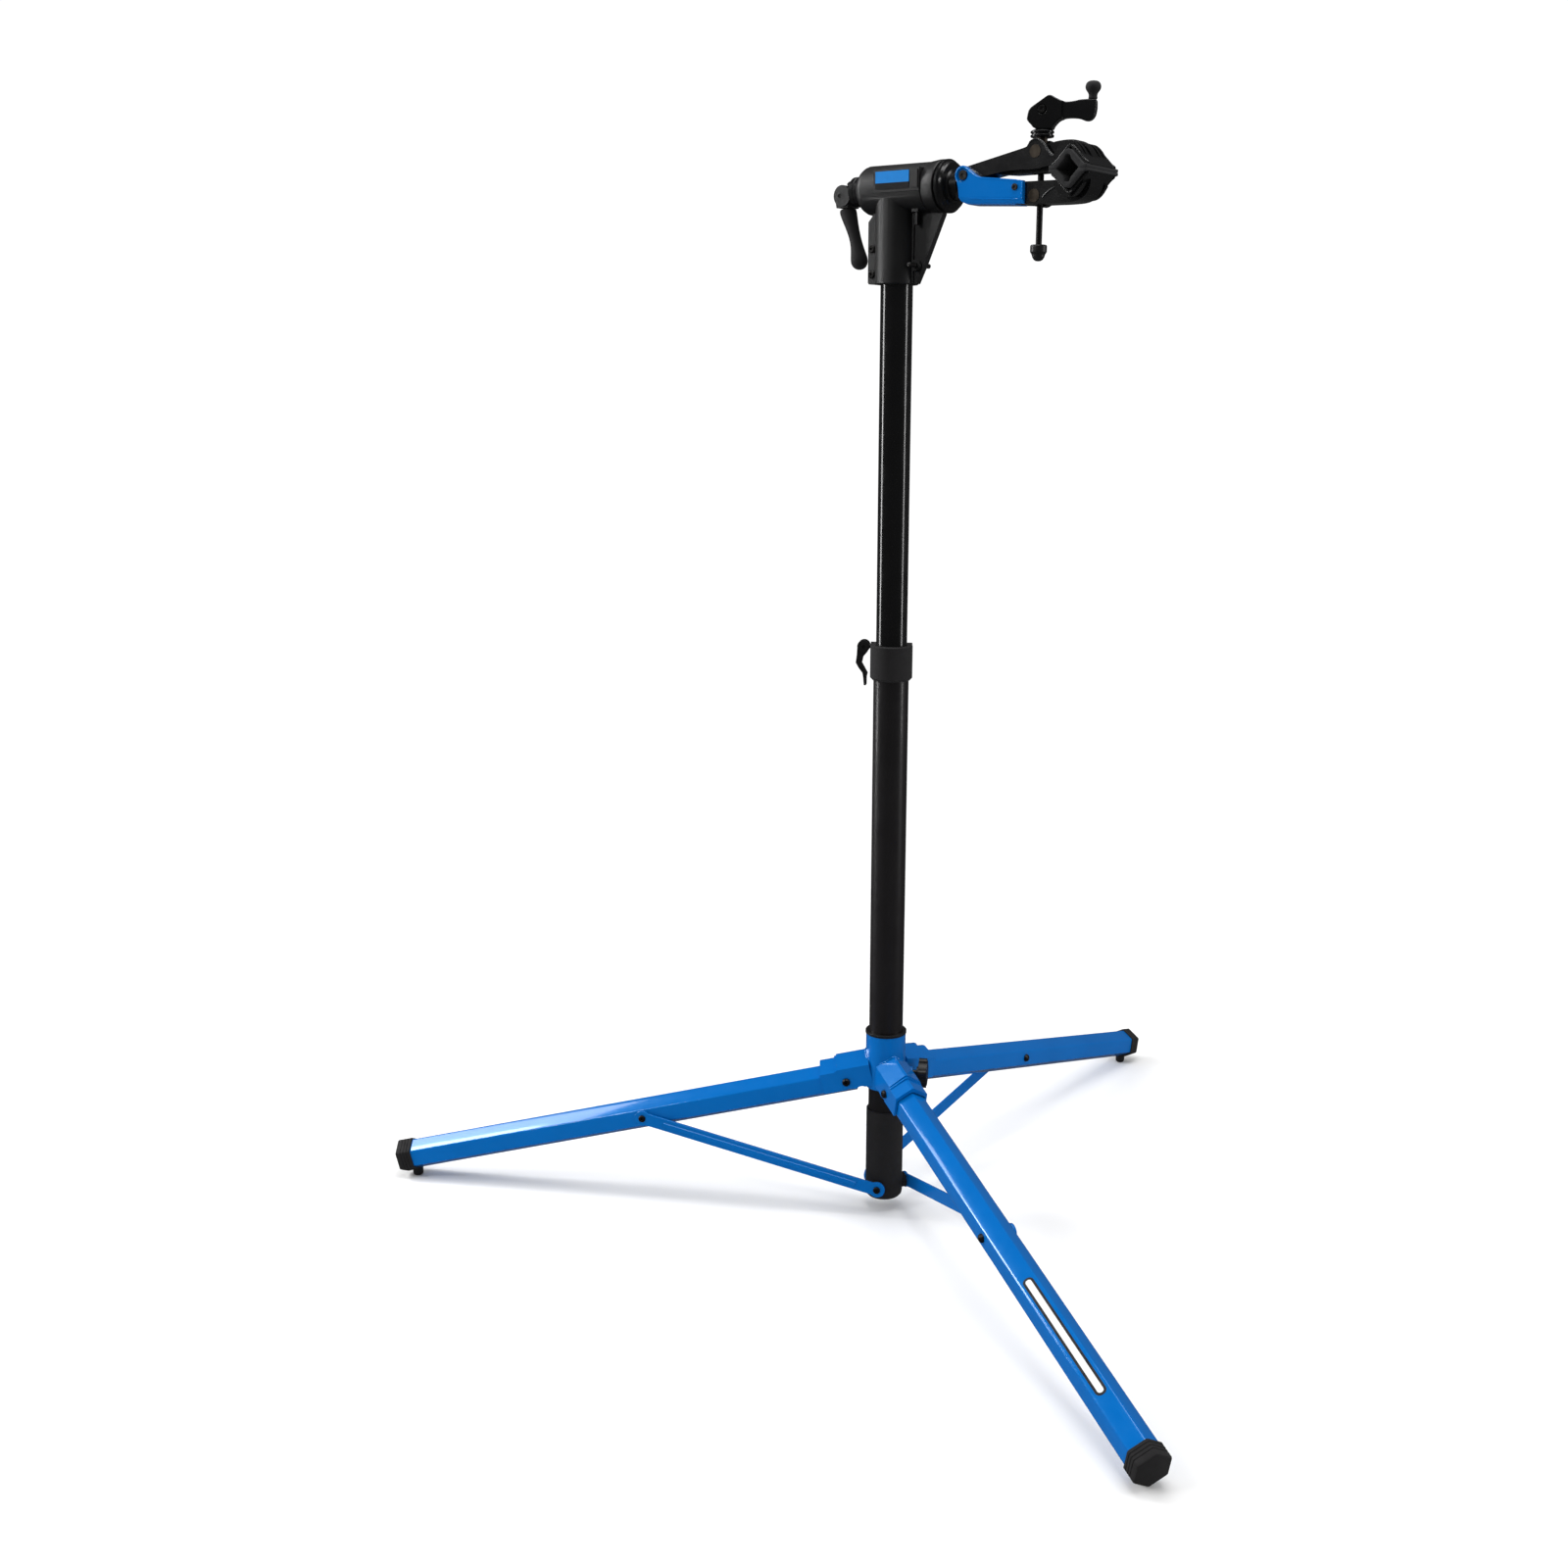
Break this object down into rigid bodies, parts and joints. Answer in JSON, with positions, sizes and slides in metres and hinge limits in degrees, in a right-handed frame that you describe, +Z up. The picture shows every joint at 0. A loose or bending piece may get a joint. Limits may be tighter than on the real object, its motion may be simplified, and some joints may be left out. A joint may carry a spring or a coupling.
{
  "type": "bicycle repair stand",
  "caption": "Folding tripod repair stand with a telescopic mast and a rotating clamp head whose padded jaws close by a crank-operated screw.",
  "frame": {"origin": "on the floor, under the axis of the mast", "axes": "+Z up along the mast, +X along the clamp arm towards the jaws, +Y to the left of the clamp arm; one leg points along +Y and the others lie 120 degrees either side of it"},
  "size_m": [1.3734, 1.1928, 1.6085],
  "materials": {
    "black_gloss": "gloss black paint",
    "blue_gloss": "gloss blue powder coat",
    "black_cast": "fine-textured black coat on a casting",
    "black_plastic": "matt moulded plastic",
    "rubber": "matt rubber",
    "dark_steel": "black-oxide steel",
    "label": "plain printed film, no text"
  },
  "bodies": {
    "base": {"mast_lower_tube": "black_gloss", "mast_foot_sleeve": "black_plastic", "strut_lower_bolts": "dark_steel", "height_collar": "black_plastic", "collar_liner": "black_plastic", "collar_skewer": "dark_steel", "collar_lever_pin": "dark_steel"},
    "height_lever": {"collar_lever": "black_plastic"},
    "leg_carriage": {"leg_hub": "blue_gloss", "hub_bushing_upper": "black_plastic", "hub_bushing_lower": "black_plastic", "leg_pivot_bolts": "dark_steel"},
    "hub_lock": {"hub_knob": "black_plastic", "hub_lock_stud": "dark_steel"},
    "leg_rear": {"leg_tube_rear": "blue_gloss", "foot_cap_rear": "rubber", "leg_strut_bolt_rear": "dark_steel"},
    "strut_arm_rear": {"strut_rear": "blue_gloss", "strut_upper_bolt_rear": "dark_steel"},
    "leg_left": {"leg_tube_left": "blue_gloss", "foot_cap_left": "rubber", "leg_strut_bolt_left": "dark_steel"},
    "strut_arm_left": {"strut_left": "blue_gloss", "strut_upper_bolt_left": "dark_steel"},
    "leg_front": {"leg_tube_front": "blue_gloss", "foot_cap_front": "rubber", "leg_strut_bolt_front": "dark_steel"},
    "strut_arm_front": {"strut_front": "blue_gloss", "strut_upper_bolt_front": "dark_steel"},
    "mast_slider": {"upper_tube_glide": "black_plastic"},
    "upper_mast": {"mast_upper_tube": "black_gloss", "head_casting": "black_cast", "socket_bolts": "dark_steel", "head_label": "label", "accessory_pin": "dark_steel", "spindle_bush_front": "dark_steel", "spindle_bush_rear": "dark_steel"},
    "clamp_spindle": {"spindle_shaft": "dark_steel", "spindle_flange": "black_cast", "tension_washer": "dark_steel", "tension_pin": "dark_steel", "lower_jaw_arm": "blue_gloss", "lower_jaw": "black_cast", "lower_jaw_pad": "rubber", "arm_pivot_pin": "dark_steel", "lower_jaw_screw": "dark_steel"},
    "tension_lever": {"tension_cam": "black_cast", "tension_grip": "rubber"},
    "upper_jaw": {"upper_jaw_arm": "black_cast", "upper_jaw_pad": "rubber"},
    "upper_swivel": {"upper_trunnion": "dark_steel"},
    "lower_swivel": {"lower_trunnion": "dark_steel"},
    "rod_carriage": {"thrust_washer": "dark_steel"},
    "screw_rod": {"clamp_rod": "dark_steel", "rod_end_nut": "black_plastic", "crank_pin": "dark_steel"},
    "crank": {"crank_arm": "black_plastic", "crank_knob_axle": "dark_steel"},
    "crank_grip": {"crank_knob": "rubber"}
  },
  "joints": [
    {"name": "height_lever_swing", "type": "hinge", "parent": "base", "child": "height_lever", "pos_m": [-0.05754, 0.01066, 0.868], "axis": [-0.5, 0.866, 0], "range_deg": [0, 110]},
    {"name": "hub_slide", "type": "slide", "parent": "base", "child": "leg_carriage", "axis": [0, 0, 1], "range_m": [0, 0.52986]},
    {"name": "hub_knob_turn", "type": "hinge", "parent": "leg_carriage", "child": "hub_lock", "pos_m": [0.0485, 0.028, 0.224], "axis": [0.866, 0.5, 0], "range_deg": [0, 540]},
    {"name": "leg_hinge_rear", "type": "hinge", "parent": "leg_carriage", "child": "leg_rear", "pos_m": [0, 0.0565, 0.212], "axis": [-1, 0, 0], "range_deg": [0, 72.8]},
    {"name": "strut_hinge_rear", "type": "hinge", "parent": "base", "child": "strut_arm_rear", "pos_m": [0, 0.007, 0.042], "axis": [1, 0, 0], "range_deg": [0, 66.15]},
    {"name": "leg_hinge_left", "type": "hinge", "parent": "leg_carriage", "child": "leg_left", "pos_m": [-0.04893, -0.02825, 0.212], "axis": [0.5, -0.866, 0], "range_deg": [0, 72.8]},
    {"name": "strut_hinge_left", "type": "hinge", "parent": "base", "child": "strut_arm_left", "pos_m": [-0.00606, -0.0035, 0.042], "axis": [-0.5, 0.866, 0], "range_deg": [0, 66.15]},
    {"name": "leg_hinge_front", "type": "hinge", "parent": "leg_carriage", "child": "leg_front", "pos_m": [0.04893, -0.02825, 0.212], "axis": [0.5, 0.866, 0], "range_deg": [0, 72.8]},
    {"name": "strut_hinge_front", "type": "hinge", "parent": "base", "child": "strut_arm_front", "pos_m": [0.00606, -0.0035, 0.042], "axis": [-0.5, -0.866, 0], "range_deg": [0, 66.15]},
    {"name": "height_slide", "type": "slide", "parent": "base", "child": "mast_slider", "axis": [0, 0, 1], "range_m": [-0.48, 0.06]},
    {"name": "mast_swivel", "type": "hinge", "parent": "mast_slider", "child": "upper_mast", "pos_m": [0, 0, 1.2], "axis": [0, 0, 1], "continuous": true},
    {"name": "clamp_rotate", "type": "hinge", "parent": "upper_mast", "child": "clamp_spindle", "pos_m": [0, 0, 1.493], "axis": [1, 0, 0], "continuous": true},
    {"name": "tension_lever_swing", "type": "hinge", "parent": "clamp_spindle", "child": "tension_lever", "pos_m": [-0.088, 0, 1.4883], "axis": [0, 1, 0], "range_deg": [0, 120]},
    {"name": "lower_swivel_tilt", "type": "hinge", "parent": "clamp_spindle", "child": "lower_swivel", "pos_m": [0.224, 0, 1.473], "axis": [0, -1, 0], "range_deg": [0, 11.61]},
    {"name": "rod_travel", "type": "slide", "parent": "lower_swivel", "child": "rod_carriage", "axis": [0, 0, 1], "range_m": [0, 0.04443]},
    {"name": "rod_spin", "type": "hinge", "parent": "rod_carriage", "child": "screw_rod", "pos_m": [0.224, 0, 1.5], "axis": [0, 0, 1], "range_deg": [0, 2665.44]},
    {"name": "crank_fold", "type": "hinge", "parent": "screw_rod", "child": "crank", "pos_m": [0.224, 0, 1.5764], "axis": [0.342, -0.9397, 0], "range_deg": [0, 90]},
    {"name": "crank_knob_spin", "type": "hinge", "parent": "crank", "child": "crank_grip", "pos_m": [0.28282, 0.02141, 1.6], "axis": [0, 0, 1], "continuous": true},
    {"name": "jaw_open", "type": "hinge", "parent": "clamp_spindle", "child": "upper_jaw", "pos_m": [0.1185, 0, 1.503], "axis": [0, -1, 0], "range_deg": [0, 25]},
    {"name": "upper_swivel_tilt", "type": "hinge", "parent": "upper_jaw", "child": "upper_swivel", "pos_m": [0.224, 0, 1.526], "axis": [0, 1, 0], "range_deg": [0, 13.4]}
  ],
  "couplings": [
    {"joint": "leg_hinge_rear", "follows": "hub_slide", "rad_per_m": 2.398},
    {"joint": "strut_hinge_rear", "follows": "hub_slide", "rad_per_m": 2.1791},
    {"joint": "leg_hinge_left", "follows": "hub_slide", "rad_per_m": 2.398},
    {"joint": "strut_hinge_left", "follows": "hub_slide", "rad_per_m": 2.1791},
    {"joint": "leg_hinge_front", "follows": "hub_slide", "rad_per_m": 2.398},
    {"joint": "strut_hinge_front", "follows": "hub_slide", "rad_per_m": 2.1791},
    {"joint": "rod_travel", "follows": "rod_spin", "m_per_rad": 0.00095493},
    {"joint": "lower_swivel_tilt", "follows": "rod_spin", "ratio": 0.0043553},
    {"joint": "jaw_open", "follows": "rod_spin", "ratio": 0.0093792},
    {"joint": "upper_swivel_tilt", "follows": "rod_spin", "ratio": 0.005024}
  ]
}
